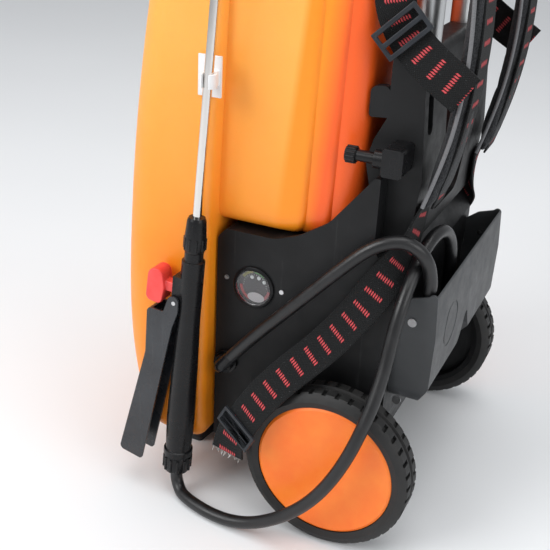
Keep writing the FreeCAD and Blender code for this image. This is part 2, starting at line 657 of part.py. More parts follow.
def make_lance():
    reach = lance_radius + 0.1
    nut = lathe([(reach, 238.4), (9, 238.4), (10, 241), (10, 250), (8.6, 268), (7.4, 271), (reach, 271)],
                (0, 0, 0), (0, 0, 1))
    ribs = [Part.makeCylinder(1.1, 11, Vector(9.6 * math.cos(a), 9.6 * math.sin(a), 241))
            for a in (math.radians(36 * i) for i in range(10))]
    save("lance_nut", on_gun(fused([nut] + ribs)))
    tip_turn = math.radians(40)
    tip_heading = Vector(0, -math.sin(tip_turn), math.cos(tip_turn))
    knee = Vector(0, 0, 640)
    tube_end = knee + tip_heading * 34
    outer = pipe([(0, 0, 238.4), (0, 0, 640), tuple(tube_end)], lance_radius)
    save("lance_tube", on_gun(outer))
    body = lathe([(reach, -12), (6.5, -12), (7.5, -10), (7.5, 4), (5, 4), (5, 12), (0, 12), (0, 0.3), (reach, 0.3)],
                 tuple(tube_end), tuple(tip_heading))
    save("nozzle_body", on_gun(body))
    cap = lathe([(5.1, 4.4), (9, 4.4), (9.5, 6), (9.5, 14), (7, 18), (1.2, 18), (1.2, 14), (5.1, 14)],
                tuple(tube_end), tuple(tip_heading))
    save("nozzle_cap", on_gun(cap))
    nozzle = gun_place.multVec(tube_end)
    heading = gun_turn.multVec(tip_heading)
    print("nozzle at", [round(c, 3) for c in nozzle], "heading", [round(c, 5) for c in heading])
    pivot = gun_place.multVec(Vector(0, -10.5, 187))
    print("lever pivot", [round(c, 3) for c in pivot], "x axis", gun_turn.multVec(Vector(1, 0, 0)),
          "y axis", gun_turn.multVec(Vector(0, 1, 0)))


def make_clip():
    """White clip on the tank's side: a plate with two jaws round the lance."""
    z_middle = 420
    at = gun_place.multVec(Vector(0, 0, z_middle - 26))
    plate = box((lobe_half_width(z_middle) + 1.2, at.y - 16.5, z_middle - 17),
                (lobe_half_width(z_middle) + 3.4, at.y + 5.5, z_middle + 18))
    jaw = ring((at.x, at.y, z_middle - 6), (at.x, at.y, z_middle + 6), 7.4, lance_radius + 0.5)
    mouth = box((at.x, at.y - 3.2, z_middle - 10), (at.x + 12, at.y + 3.2, z_middle + 10))
    stem = box((lobe_half_width(z_middle) + 3, at.y - 4, z_middle - 6), (at.x - 5, at.y + 4, z_middle + 6))
    save("lance_clip", fused([plate, stem, jaw]).cut(mouth))


# ---------------------------------------------------------------- spray hose

hose_route = [(148, 42.5, 160), (148, 60, 182), (148, 86, 211), (147, 115, 243), (143, 144, 275),
              (138, 167, 298), (131, 191, 306), (123, 209, 293), (112, 214, 268), (110, 213, 240),
              (110, 211, 214), (109, 210, 194), (99, 209, 176), (81, 208, 165), (59, 208, 165),
              (41, 209, 176), (31, 210, 194), (29, 210, 216), (30, 210, 240), (34, 210, 264),
              (46, 209, 284), (66, 207, 296), (86, 203, 294), (104, 199.8, 283), (124, 199.8, 271),
              (141, 198, 251), (150, 196, 227), (158, 195, 202), (170, 193, 176), (182, 188, 149),
              (189, 180, 122), (193, 169, 96), (194, 154, 70), (194, 135, 47), (193, 113, 28),
              (192, 90, 14), (191, 67, 7.5), (189, 46, 6.3), (184, 26, 6.3), (178.5, 12, 6.3),
              (173.5, 4, 6.5), (168.9, -2.1, 11.4), (166.3, -5.6, 19), (166, -5, 28)]


def make_hose():
    save("spray_hose", pipe(hose_route, hose_radius, "spray hose"))


def main():
    os.makedirs("parts", exist_ok=True)
    make_tank()
    make_filler()
    make_tank_outlet()
    make_base()
    screws = make_base_floor()
    make_foot()
    screws += make_gauge()
    make_outlet()
    make_power()
    make_insides()
    screws += make_pocket()
    save("case_screws", *screws)
    make_running_gear()
    make_frame()
    make_peg()
    make_handle()
    make_straps()
    make_buckles()
    make_gun()
    make_lance()
    make_clip()
    make_hose()


main()
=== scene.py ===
import bpy
import bmesh
import json
import math
import random
from mathutils import Matrix, Vector


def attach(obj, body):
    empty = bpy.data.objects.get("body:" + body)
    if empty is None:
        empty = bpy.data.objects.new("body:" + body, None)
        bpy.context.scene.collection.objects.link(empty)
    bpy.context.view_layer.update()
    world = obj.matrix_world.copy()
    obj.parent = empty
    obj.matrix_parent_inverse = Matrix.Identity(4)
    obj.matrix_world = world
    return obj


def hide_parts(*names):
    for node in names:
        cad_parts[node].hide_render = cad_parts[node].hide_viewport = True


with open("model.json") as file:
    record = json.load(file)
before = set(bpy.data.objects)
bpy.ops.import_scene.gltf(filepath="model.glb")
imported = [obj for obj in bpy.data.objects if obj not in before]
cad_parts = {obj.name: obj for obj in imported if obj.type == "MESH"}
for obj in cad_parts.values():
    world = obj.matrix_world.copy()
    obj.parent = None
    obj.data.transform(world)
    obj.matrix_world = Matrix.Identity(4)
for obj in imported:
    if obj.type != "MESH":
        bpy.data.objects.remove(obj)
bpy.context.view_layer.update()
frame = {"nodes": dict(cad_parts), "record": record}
scene = bpy.context.scene
print("frame loaded")


# nodes and materials

def addNode(material, kind, inputs=None, **settings):
    node = material.node_tree.nodes.new("ShaderNode" + kind)
    for name, value in settings.items():
        setattr(node, name, value)
    for name, value in (inputs or {}).items():
        if isinstance(value, bpy.types.NodeSocket):
            material.node_tree.links.new(value, node.inputs[name])
        else:
            node.inputs[name].default_value = value
    return node


def calc(material, operation, first, second=0.5, third=0.5):
    values = {0: first, 1: second, 2: third}
    return addNode(material, "Math", values, operation=operation).outputs[0]


def spread(material, value, low, high, newLow, newHigh):
    inputs = {"Value": value, "From Min": low, "From Max": high, "To Min": newLow, "To Max": newHigh}
    return addNode(material, "MapRange", inputs).outputs[0]


def mixColours(material, amount, first, second):
    node = addNode(material, "Mix", data_type="RGBA")
    for socket, value in ((node.inputs[0], amount), (node.inputs[6], first), (node.inputs[7], second)):
        if isinstance(value, bpy.types.NodeSocket):
            material.node_tree.links.new(value, socket)
        else:
            socket.default_value = value if socket == node.inputs[0] else (*value, 1)
    return node.outputs[2]


def noiseOn(material, place, scale, detail=3.0, roughness=0.5):
    inputs = {"Vector": place, "Scale": scale, "Detail": detail, "Roughness": roughness}
    return addNode(material, "TexNoise", inputs).outputs["Fac"]


def finishMaterial(material, colour=None, roughness=None, height=None, depth=0.0002, **plain):
    shader = material.node_tree.nodes["Principled BSDF"]
    links = material.node_tree.links
    if colour is not None:
        links.new(colour, shader.inputs["Base Color"])
    if roughness is not None:
        links.new(roughness, shader.inputs["Roughness"])
    if height is not None:
        bump = addNode(material, "Bump", {"Height": height, "Distance": depth, "Strength": 1.0})
        links.new(bump.outputs[0], shader.inputs["Normal"])
    for name, value in plain.items():
        shader.inputs[name].default_value = value
    return material


def newMaterial(name):
    material = bpy.data.materials.new(name)
    material.use_nodes = True
    return material


def objectPlace(material, stretch=(1, 1, 1)):
    place = addNode(material, "TexCoord").outputs["Object"]
    return addNode(material, "Mapping", {"Vector": place, "Scale": stretch}).outputs[0]


# moulded plastics: two close colours in soft patches, a fine mould texture, scuffs and dust
plasticLooks = {
    "discOrange": {"dark": (0.95, 0.165, 0.012), "light": (1.0, 0.235, 0.022), "patch": 30, "grain": 900,
                   "depth": 0.00006, "rough": (0.32, 0.45), "scuff": 0.14},
    "housingBlack": {"dark": (0.0055, 0.0056, 0.006), "light": (0.010, 0.0103, 0.011), "patch": 16,
                     "grain": 1500, "depth": 0.00009, "rough": (0.40, 0.55), "scuff": 0.22},
    "leverGrey": {"dark": (0.016, 0.017, 0.020), "light": (0.030, 0.033, 0.038), "patch": 30, "grain": 1300,
                  "depth": 0.00005, "rough": (0.20, 0.32), "scuff": 0.20},
    "coverGrey": {"dark": (0.028, 0.030, 0.032), "light": (0.046, 0.049, 0.052), "patch": 14, "grain": 1400,
                  "depth": 0.00010, "rough": (0.42, 0.58), "scuff": 0.22},
    "glossBlack": {"dark": (0.0045, 0.0045, 0.005), "light": (0.008, 0.008, 0.009), "patch": 40, "grain": 1100,
                   "depth": 0.00004, "rough": (0.22, 0.34), "scuff": 0.16},
    "buckleBlack": {"dark": (0.016, 0.018, 0.022), "light": (0.028, 0.032, 0.038), "patch": 60, "grain": 1300,
                    "depth": 0.00005, "rough": (0.28, 0.42), "scuff": 0.18},
    "whitePlastic": {"dark": (0.74, 0.75, 0.76), "light": (0.86, 0.86, 0.86), "patch": 40, "grain": 900,
                     "depth": 0.00005, "rough": (0.35, 0.5), "scuff": 0.05},
    "redPlastic": {"dark": (0.78, 0.045, 0.040), "light": (0.88, 0.085, 0.075), "patch": 60, "grain": 900,
                   "depth": 0.00005, "rough": (0.26, 0.38), "scuff": 0.08},
    "lampWhite": {"dark": (0.86, 0.88, 0.90), "light": (0.95, 0.96, 0.97), "patch": 60, "grain": 900,
                  "depth": 0.00003, "rough": (0.2, 0.3), "scuff": 0.02},
    "pumpPlastic": {"dark": (0.03, 0.032, 0.036), "light": (0.06, 0.062, 0.068), "patch": 20, "grain": 800,
                    "depth": 0.00010, "rough": (0.45, 0.6), "scuff": 0.2},
}


def mouldedPlastic(name):
    look = plasticLooks[name]
    material = newMaterial(name)
    place = objectPlace(material)
    patches = noiseOn(material, place, look["patch"], 4, 0.6)
    colour = mixColours(material, spread(material, patches, 0.3, 0.7, 0, 1), look["dark"], look["light"])
    streaks = noiseOn(material, objectPlace(material, (140, 140, 9)), 1.0, 6, 0.7)
    scuffs = calc(material, "MULTIPLY", spread(material, streaks, 0.6, 0.78, 0, 1), look["scuff"])
    pale = tuple(min(1, c * 0.6 + 0.25) for c in look["light"])
    colour = mixColours(material, calc(material, "MULTIPLY", scuffs, 0.5), colour, pale)
    grain = noiseOn(material, place, look["grain"], 2, 0.5)
    waves = noiseOn(material, place, 34, 2, 0.5)
    height = calc(material, "ADD", grain, calc(material, "MULTIPLY", waves, 1.6))
    low, high = look["rough"]
    polish = spread(material, noiseOn(material, place, 55, 5, 0.65), 0.3, 0.7, low, high)
    roughness = calc(material, "ADD", polish, scuffs)
    return finishMaterial(material, colour, roughness, height, look["depth"])


finishes = {name: mouldedPlastic(name) for name in plasticLooks}
for name in ("housingBlack", "glossBlack", "buckleBlack"):
    finishes[name].node_tree.nodes["Principled BSDF"].inputs["Specular IOR Level"].default_value = 0.26
# tank wall: thick blown plastic, creased down each side; its colour carries painted light: a pale painted sheen
# over the front that grows towards the top, saturated orange behind each crease, and painted shade in
# red-orange at the rear
tankLook = {"pale": (1.0, 0.42, 0.072), "warm": (1.0, 0.285, 0.010), "golden": (1.0, 0.28, 0.006),
            "rear": (0.95, 0.115, 0.010), "creaseFoot": (0.071, 0.296), "creaseLean": 0.094, "creaseFall": 0.12,
            "creaseReach": 0.03, "sideFrom": 0.100, "sideBlend": 0.018, "lowest": 0.27}


def tankPlastic():
    look = tankLook
    material = newMaterial("tankOrange")
    place = objectPlace(material)
    axes = addNode(material, "SeparateXYZ", {0: place}).outputs
    clouds = calc(material, "SUBTRACT", noiseOn(material, place, 8, 4, 0.6), 0.5)
    patches = calc(material, "MULTIPLY", clouds, 0.5)
    # painted sheen: the colour pales with height, plus random tone patches, standing in for the glossy
    # highlight on the upper front
    paintedSheenAndPatches = calc(material, "ADD", spread(material, axes[2], 0.24, 0.46, 0, 1), patches)
    colour = mixColours(material, spread(material, paintedSheenAndPatches, 0.1, 1.0, 0, 1), look["warm"], look["pale"])
    footY, footZ = look["creaseFoot"]
    line = calc(material, "MULTIPLY_ADD", calc(material, "SUBTRACT", axes[2], footZ), look["creaseLean"], footY)
    behind = calc(material, "SUBTRACT", axes[1], line)
    # behind the crease line the painted sheen gives way to saturated golden orange, as on a side turned from
    # the light
    colour = mixColours(material, spread(material, behind, -0.003, 0.004, 0, 1), colour, look["golden"])
    # painted shade: further back the wall turns red-orange, standing in for the shadow of the frame
    colour = mixColours(material, spread(material, behind, 0.018, 0.036, 0, 1), colour, look["rear"])
    grain = calc(material, "MULTIPLY", noiseOn(material, place, 420, 2, 0.5), 0.00014)
    waves = calc(material, "MULTIPLY", noiseOn(material, place, 30, 2, 0.5), 0.00030)
    height = calc(material, "ADD", grain, waves)
    roughness = spread(material, noiseOn(material, place, 55, 5, 0.65), 0.3, 0.7, 0.34, 0.48)
    finishMaterial(material, colour, roughness, height, 1.0)
    shader = material.node_tree.nodes["Principled BSDF"]
    shader.inputs["Subsurface Weight"].default_value = 0.2
    shader.inputs["Subsurface Radius"].default_value = (1.0, 0.35, 0.08)
    shader.inputs["Subsurface Scale"].default_value = 0.01
    return material


finishes["tankOrange"] = tankPlastic()


def rubber(name, dark, light, low, high):
    material = newMaterial(name)
    place = objectPlace(material)
    dust = noiseOn(material, place, 48, 6, 0.7)
    colour = mixColours(material, spread(material, dust, 0.42, 0.75, 0, 1), dark, light)
    grain = noiseOn(material, place, 1300, 3, 0.6)
    roughness = spread(material, dust, 0.3, 0.7, low, high)
    return finishMaterial(material, colour, roughness, grain, 0.00012)


def metal(name, colour, low, high, brush, **plain):
    material = newMaterial(name)
    lines = noiseOn(material, objectPlace(material, brush), 1.0, 5, 0.65)
    shade = mixColours(material, lines, tuple(c * 0.86 for c in colour), colour)
    spots = noiseOn(material, objectPlace(material), 90, 4, 0.6)
    roughness = calc(material, "ADD", spread(material, lines, 0.3, 0.7, low, high),
                     spread(material, spots, 0.55, 0.8, 0, 0.06))
    return finishMaterial(material, shade, roughness, lines, 0.00002, Metallic=1.0, **plain)


finishes["tyreRubber"] = rubber("tyreRubber", (0.007, 0.007, 0.007), (0.024, 0.023, 0.022), 0.5, 0.75)
finishes["sealRubber"] = rubber("sealRubber", (0.015, 0.015, 0.016), (0.03, 0.03, 0.03), 0.6, 0.8)
finishes["hoseRubber"] = rubber("hoseRubber", (0.005, 0.005, 0.0055), (0.011, 0.011, 0.012), 0.26, 0.42)
finishes["wireRubber"] = rubber("wireRubber", (0.3, 0.02, 0.02), (0.4, 0.04, 0.03), 0.4, 0.55)
finishes["aluminium"] = metal("aluminium", (0.80, 0.81, 0.81), 0.28, 0.4, (900, 900, 30))
finishes["lanceSteel"] = metal("lanceSteel", (0.80, 0.77, 0.74), 0.1, 0.22, (700, 700, 40))
finishes["plainSteel"] = metal("plainSteel", (0.62, 0.62, 0.63), 0.25, 0.42, (400, 400, 400))


finishes["gaugeRing"] = metal("gaugeRing", (0.78, 0.62, 0.64), 0.2, 0.35, (300, 300, 300))


def clearLens():
    material = newMaterial("clearLens")
    smears = noiseOn(material, objectPlace(material), 160, 5, 0.6)
    roughness = spread(material, smears, 0.4, 0.75, 0.02, 0.10)
    values = {"Transmission Weight": 1.0, "IOR": 1.45, "Base Color": (0.97, 0.98, 0.98, 1)}
    return finishMaterial(material, None, roughness, smears, 0.00001, **values)


finishes["clearLens"] = clearLens()
print("materials made")


# mesh helpers

def markSharp(bm, degrees=32):
    for face in bm.faces:
        face.smooth = True
    for edge in bm.edges:
        edge.smooth = not (edge.is_manifold and edge.calc_face_angle(0) > math.radians(degrees))


def addPiece(name, bm, body, finish, stands=(), sharp=32):
    markSharp(bm, sharp)
    mesh = bpy.data.meshes.new(name)
    bm.to_mesh(mesh)
    bm.free()
    piece = bpy.data.objects.new(name, mesh)
    scene.collection.objects.link(piece)
    mesh.materials.append(finishes[finish])
    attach(piece, body)
    if stands:
        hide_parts(*stands)
    return piece


def addModifier(piece, kind, **settings):
    modifier = piece.modifiers.new(kind.lower(), kind)
    for name, value in settings.items():
        setattr(modifier, name, value)
    return modifier


def applyModifiers(piece):
    evaluated = piece.evaluated_get(bpy.context.evaluated_depsgraph_get())
    mesh = bpy.data.meshes.new_from_object(evaluated)
    piece.modifiers.clear()
    piece.data = mesh


def softEdges(piece, width, segments=2, degrees=35):
    addModifier(piece, "BEVEL", width=width, segments=segments, limit_method="ANGLE",
                angle_limit=math.radians(degrees), harden_normals=True, miter_outer="MITER_ARC")


# the moulded and turned parts keep their drawn shape and get rounded edges
fineParts = {
    "base_housing": ("baseHousing", "housingBlack", 0.0012), "front_foot": ("frontFoot", "housingBlack", 0.001),
    "foot_rubber": ("footRubber", "sealRubber", 0.001), "back_frame": ("backFrame", "housingBlack", 0.0015),
    "rear_cover": ("rearCover", "coverGrey", 0.0012), "peg_bracket": ("pegBracket", "glossBlack", 0.0008),
    "lance_peg": ("lancePeg", "glossBlack", 0.0006), "handle_bridge": ("handleBridge", "housingBlack", 0.001),
    "handle_grip": ("handleGrip", "housingBlack", 0.001),
    "handle_button": ("handleButton", "redPlastic", 0.0008),
    "upper_buckles": ("upperBuckles", "buckleBlack", 0.0008),
    "lower_buckles": ("lowerBuckles", "buckleBlack", 0.0008),
    "strap_anchors": ("strapAnchors", "housingBlack", 0.0008), "hose_nut": ("hoseNut", "glossBlack", 0.0004),
    "gun_body": ("gunBody", "glossBlack", 0.0006), "trigger_lever": ("triggerLever", "leverGrey", 0.0012),
    "lock_button": ("lockButton", "redPlastic", 0.0012), "lance_nut": ("lanceNut", "glossBlack", 0.0004),
    "nozzle_body": ("nozzleBody", "glossBlack", 0.0004), "nozzle_cap": ("nozzleCap", "glossBlack", 0.0005),
    "lance_clip": ("lanceClip", "whitePlastic", 0.0005), "filler_lid": ("fillerLid", "housingBlack", 0.0008),
    "hose_outlet": ("hoseOutlet", "glossBlack", 0.0005), "outlet_nut": ("outletNut", "housingBlack", 0.0005),
    "gauge_body": ("gaugeBody", "glossBlack", 0.0003), "switch_bezel": ("switchBezel", "glossBlack", 0.0005),
    "power_switch": ("powerSwitch", "redPlastic", 0.0005),
    "near_wheel_tyre": ("tyreNear", "tyreRubber", 0.0005), "far_wheel_tyre": ("tyreFar", "tyreRubber", 0.0005),
    "near_wheel_disc": ("discNear", "discOrange", 0.0004), "far_wheel_disc": ("discFar", "discOrange", 0.0004),
    "near_wheel_rim": ("rimNear", "housingBlack", 0.0004), "far_wheel_rim": ("rimFar", "housingBlack", 0.0004),
    "charging_cap": ("chargingCap", "sealRubber", 0.0005),
}
roundLook = {"merge": 0.00001, "flatAngle": 0.6}
bodyOf = {node: body for body, nodes in frame["record"]["behaviour"]["bodies"].items() for node in nodes}


def creaseSides(bm):
    look = tankLook
    footY, footZ = look["creaseFoot"]
    lean = look["creaseLean"]
    bmesh.ops.bisect_plane(bm, geom=bm.verts[:] + bm.edges[:] + bm.faces[:], dist=roundLook["merge"],
                           plane_co=(0, footY, footZ), plane_no=(0, 1, -lean))
    for vert in bm.verts:
        behind = vert.co.y - footY - lean * (vert.co.z - footZ)
        share = (abs(vert.co.x) - look["sideFrom"]) / look["sideBlend"]
        if behind > 0 and share > 0 and vert.co.z > look["lowest"]:
            fall = look["creaseFall"] * min(behind, look["creaseReach"]) * min(share, 1)
            vert.co.x -= math.copysign(fall, vert.co.x)
    bmesh.ops.connect_verts_nonplanar(bm, angle_limit=math.radians(0.3), faces=bm.faces)


def finePart(node, name, finish, width, reshape=None):
    bm = bmesh.new()
    bm.from_mesh(frame["nodes"][node].data)
    bmesh.ops.remove_doubles(bm, verts=bm.verts, dist=roundLook["merge"])
    bmesh.ops.dissolve_limit(bm, angle_limit=math.radians(roundLook["flatAngle"]), verts=bm.verts,
                             edges=bm.edges)
    if reshape:
        reshape(bm)
    piece = addPiece(name, bm, bodyOf[node], finish, [node])
    if width:
        softEdges(piece, width)
    return piece


for node, (name, finish, width) in fineParts.items():
    finePart(node, name, finish, width)
finePart("tank", "tankShell", "tankOrange", 0, creaseSides)
print("hard parts rounded")

# parts that are right as drawn and only take a finish
plainParts = {
    "lid_seal": "sealRubber", "filler_strainer": "pumpPlastic", "tank_outlet": "housingBlack",
    "base_floor_plate": "housingBlack", "case_screws": "plainSteel", "gauge_lens": "clearLens",
    "charging_socket": "glossBlack", "battery": "pumpPlastic", "pump_head": "pumpPlastic",
    "pump_motor": "plainSteel", "pressure_switch": "pumpPlastic", "pump_hoses": "hoseRubber",
    "wiring_loom": "wireRubber", "axle_washers": "plainSteel", "axle": "plainSteel",
    "handle_outer_tubes": "aluminium", "handle_inner_tubes": "aluminium", "lever_pin": "plainSteel",
    "lance_tube": "lanceSteel",
}


def refinish(node, finish):
    part = frame["nodes"][node]
    part.data.materials.clear()
    part.data.materials.append(finishes[finish])


for node, finish in plainParts.items():
    refinish(node, finish)

# woven strap: coarse ribs, pale specks and rows of slanted red stitches along its length, each stitch with a
# painted highlight along its crown
webbingLook = {"width": 0.034, "thickness": 0.0018, "ribPitch": 0.0019, "pickPitch": 0.0024,
               "rowPitch": 0.0165, "dashPitch": 0.0024, "dashes": 8, "dashLength": 0.0042, "lean": 0.0022,
               "black": (0.0035, 0.0038, 0.004), "ash": (0.016, 0.017, 0.0185), "fleck": (0.13, 0.135, 0.14),
               "red": (0.28, 0.006, 0.011), "stitchHighlight": (0.62, 0.09, 0.10)}


def wovenWebbing():
    look = webbingLook
    material = newMaterial("wovenWebbing")
    place = addNode(material, "UVMap", uv_map="along").outputs[0]
    axes = addNode(material, "SeparateXYZ", {0: place}).outputs
    across, along = axes[0], axes[1]
    ribs = calc(material, "SINE", calc(material, "MULTIPLY", across, 2 * math.pi / look["ribPitch"]))
    picks = calc(material, "SINE", calc(material, "MULTIPLY", along, 2 * math.pi / look["pickPitch"]))
    weave = calc(material, "MULTIPLY", ribs, picks)
    specks = noiseOn(material, place, 900, 2, 0.5)
    cell = calc(material, "DIVIDE", across, look["dashPitch"])
    dashAcross = calc(material, "SUBTRACT", calc(material, "FRACT", cell), 0.5)
    rowPlace = calc(material, "FRACT", calc(material, "DIVIDE", along, look["rowPitch"]))
    rowOffset = calc(material, "MULTIPLY", calc(material, "SUBTRACT", rowPlace, 0.5), look["rowPitch"])
    leaning = calc(material, "ADD", rowOffset, calc(material, "MULTIPLY", dashAcross, look["lean"]))
    unsteady = calc(material, "SUBTRACT", noiseOn(material, place, 260, 2), 0.5)
    wobble = calc(material, "MULTIPLY", unsteady, 0.0016)
    distance = calc(material, "ABSOLUTE", calc(material, "ADD", leaning, wobble))
    inLength = spread(material, distance, look["dashLength"] * 0.40, look["dashLength"] * 0.56, 1, 0)
    inWidth = spread(material, calc(material, "ABSOLUTE", dashAcross), 0.24, 0.40, 1, 0)
    rowEnd = look["dashPitch"] * look["dashes"] * 0.5
    inRow = spread(material, calc(material, "ABSOLUTE", across), rowEnd - 0.0002, rowEnd, 1, 0)
    stitch = calc(material, "MULTIPLY", calc(material, "MULTIPLY", inLength, inWidth), inRow)
    base = mixColours(material, spread(material, weave, -0.2, 0.9, 0, 0.55), look["black"], look["ash"])
    base = mixColours(material, spread(material, specks, 0.66, 0.74, 0, 0.5), base, look["fleck"])
    # painted highlight: each red stitch pales to pink at its crown, where its raised middle would catch the
    # light
    thread = mixColours(material, spread(material, stitch, 0.55, 1.0, 0, 0.85), look["red"], look["stitchHighlight"])
    colour = mixColours(material, spread(material, stitch, 0.15, 0.5, 0, 1), base, thread)
    height = calc(material, "ADD", calc(material, "MULTIPLY", weave, 0.4), stitch)
    roughness = spread(material, specks, 0.3, 0.7, 0.72, 0.95)
    sheen = {"Sheen Weight": 0.04, "Sheen Roughness": 0.5, "Specular IOR Level": 0.25}
    return finishMaterial(material, colour, roughness, height, 0.0005, **sheen)


finishes["wovenWebbing"] = wovenWebbing()


def padCloth():
    material = newMaterial("padCloth")
    place = objectPlace(material)
    mesh = addNode(material, "TexVoronoi", {"Vector": place, "Scale": 620.0}, feature="F1").outputs["Distance"]
    fuzz = noiseOn(material, place, 70, 5, 0.65)
    colour = mixColours(material, spread(material, mesh, 0.2, 0.7, 0, 1), (0.010, 0.0105, 0.012),
                        (0.026, 0.027, 0.030))
    colour = mixColours(material, spread(material, fuzz, 0.5, 0.8, 0, 0.35), colour, (0.06, 0.06, 0.065))
    return finishMaterial(material, colour, spread(material, fuzz, 0.3, 0.7, 0.75, 0.95), mesh, 0.0006,
                          **{"Sheen Weight": 0.08, "Sheen Roughness": 0.5, "Specular IOR Level": 0.3})


def pipingCloth():
    material = newMaterial("pipingCloth")
    place = objectPlace(material, (1, 1, 1.6))
    rib = noiseOn(material, place, 700, 2, 0.5)
    colour = mixColours(material, rib, (0.10, 0.10, 0.105), (0.21, 0.21, 0.22))
    return finishMaterial(material, colour, spread(material, rib, 0.3, 0.7, 0.7, 0.9), rib, 0.0004)


finishes["padCloth"] = padCloth()
finishes["pipingCloth"] = pipingCloth()


# a strip of cloth through its stations, each a place and the way its face looks, with its own measure in metres
def flatStrip(stations, width, columns):
    bm = bmesh.new()
    measure = bm.loops.layers.uv.new("along")
    count = len(stations) - 1
    bmesh.ops.create_grid(bm, x_segments=columns, y_segments=count, size=1)
    middles = [Vector(place) for place, outward in stations]
    travelled = [0.0]
    for before, after in zip(middles, middles[1:]):
        travelled.append(travelled[-1] + (after - before).length)
    spot = {}
    for vert in bm.verts:
        index = round((vert.co.y + 1) / 2 * count)
        run = middles[min(index + 1, count)] - middles[max(index - 1, 0)]
        outward = Vector(stations[index][1])
        side = vert.co.x
        spot[vert] = (side * width / 2, travelled[index])
        vert.co = middles[index] + run.cross(outward).normalized() * side * width / 2
    for face in bm.faces:
        for loop in face.loops:
            loop[measure].uv = spot[loop.vert]
    return bm


def mirrorStations(stations):
    return [((-x, y, z), (-nx, ny, nz)) for (x, y, z), (nx, ny, nz) in stations]


# each strap's stations on the near side
strapRoutes = {
    "hanger": [((.092, .1785, .538), (0, -1, 0)), ((.092, .1785, .572), (0, -1, 0)),
               ((.092, .184, .584), (0, -.7, .7)), ((.092, .194, .584), (0, .5, .8)),
               ((.091, .207, .562), (0, 1, .5)), ((.0905, .214, .543), (0, 1, .3))],
    "lifter": [((.1145, .170, .566), (1, 0, 0)), ((.114, .158, .530), (1, 0, 0)),
               ((.113, .154, .496), (1, 0, .2)), ((.1122, .168, .468), (1, 0, .2)),
               ((.1156, .192, .449), (1, 0, .2)), ((.1198, .212, .438), (1, 0, .1)),
               ((.1204, .224, .430), (1, 0, 0))],
    "lower": [((.095, .196, .326), (0, 1, -.25)), ((.098, .1922, .308), (.1, 1, 0)),
              ((.109, .1912, .293), (.1, 1, .1)), ((.123, .185, .280), (.7, 1, .3)),
              ((.136, .175, .260), (1, .35, .45)), ((.142, .163, .238), (1, -.1, .5)),
              ((.149, .138, .202), (1, -.1, .5)), ((.157, .119, .181), (1, -.1, .5)),
              ((.167, .102, .163), (1, -.15, .4)), ((.175, .088, .144), (1, -.2, .35)),
              ((.179, .076, .124), (1, -.2, .3)), ((.178, .065, .102), (1, -.2, .3)),
              ((.168, .056, .086), (.9, -.5, .2)), ((.151, .049, .076), (.5, -1, .2)),
              ((.140, .0466, .073), (.4, -1, .2))],
}


def addStrap(name, stations, node):
    bm = flatStrip(stations, webbingLook["width"], 4)
    piece = addPiece(name, bm, "chassis", "wovenWebbing", [node] if node else ())
    addModifier(piece, "SUBSURF", levels=3, render_levels=3, boundary_smooth="PRESERVE_CORNERS")
    addModifier(piece, "SOLIDIFY", thickness=webbingLook["thickness"], offset=0, use_even_offset=True)
    return piece


for part, stations in strapRoutes.items():
    addStrap(part + "StrapNear", stations, part + "_webbing")
    addStrap(part + "StrapFar", mirrorStations(stations), part + "_webbing")
print("straps sewn")

# loose end of the strap below its buckle, with a few frayed threads
tailLook = {"threads": 16, "length": 0.012, "width": 0.0005, "sides": 5, "bends": 3, "tucked": 0.003}
tailRoute = [((.1775, .062, .100), (1, -.2, .3)), ((.1768, .059, .092), (1, -.25, .25)),
             ((.1762, .057, .083), (1, -.2, .2)), ((.1758, .056, .074), (1, -.1, .1))]


def addThreads(name, stations):
    seed = random.Random(7)
    end, outward = stations[-1]
    run = (Vector(end) - Vector(stations[-2][0])).normalized()
    across = run.cross(Vector(outward)).normalized()
    bm = bmesh.new()
    for index in range(tailLook["threads"]):
        start = Vector(end) + across * webbingLook["width"] * (index / (tailLook["threads"] - 1) - 0.5) * 0.9
        lean = Vector((seed.uniform(-.4, .4), seed.uniform(-.6, .6), seed.uniform(-.2, .2)))
        length = tailLook["length"] * seed.uniform(0.35, 1.0)
        made = bmesh.ops.create_circle(bm, cap_ends=True, radius=tailLook["width"] / 2,
                                       segments=tailLook["sides"])["verts"]
        bmesh.ops.translate(bm, verts=made, vec=start - run * tailLook["tucked"])
        top = [face for face in bm.faces if made[0] in face.verts]
        for step in range(tailLook["bends"]):
            moved = bmesh.ops.extrude_face_region(bm, geom=top)["geom"]
            top = [item for item in moved if isinstance(item, bmesh.types.BMFace)]
            verts = [item for item in moved if isinstance(item, bmesh.types.BMVert)]
            bmesh.ops.translate(bm, verts=verts, vec=(run + lean * step * 0.5) * (length / tailLook["bends"]))
    bmesh.ops.recalc_face_normals(bm, faces=bm.faces)
    addPiece(name, bm, "chassis", "looseThread")


def looseThread():
    material = newMaterial("looseThread")
    fibre = noiseOn(material, objectPlace(material), 900, 3)
    colour = mixColours(material, fibre, (0.45, 0.44, 0.42), (0.78, 0.77, 0.74))
    return finishMaterial(material, colour, spread(material, fibre, 0.3, 0.7, 0.7, 0.9), fibre, 0.0001)


finishes["looseThread"] = looseThread()
for side, stations in (("Near", tailRoute), ("Far", mirrorStations(tailRoute))):
    addStrap("strapTail" + side, stations, None)
    addThreads("strapThreads" + side, stations)
print("strap ends frayed")

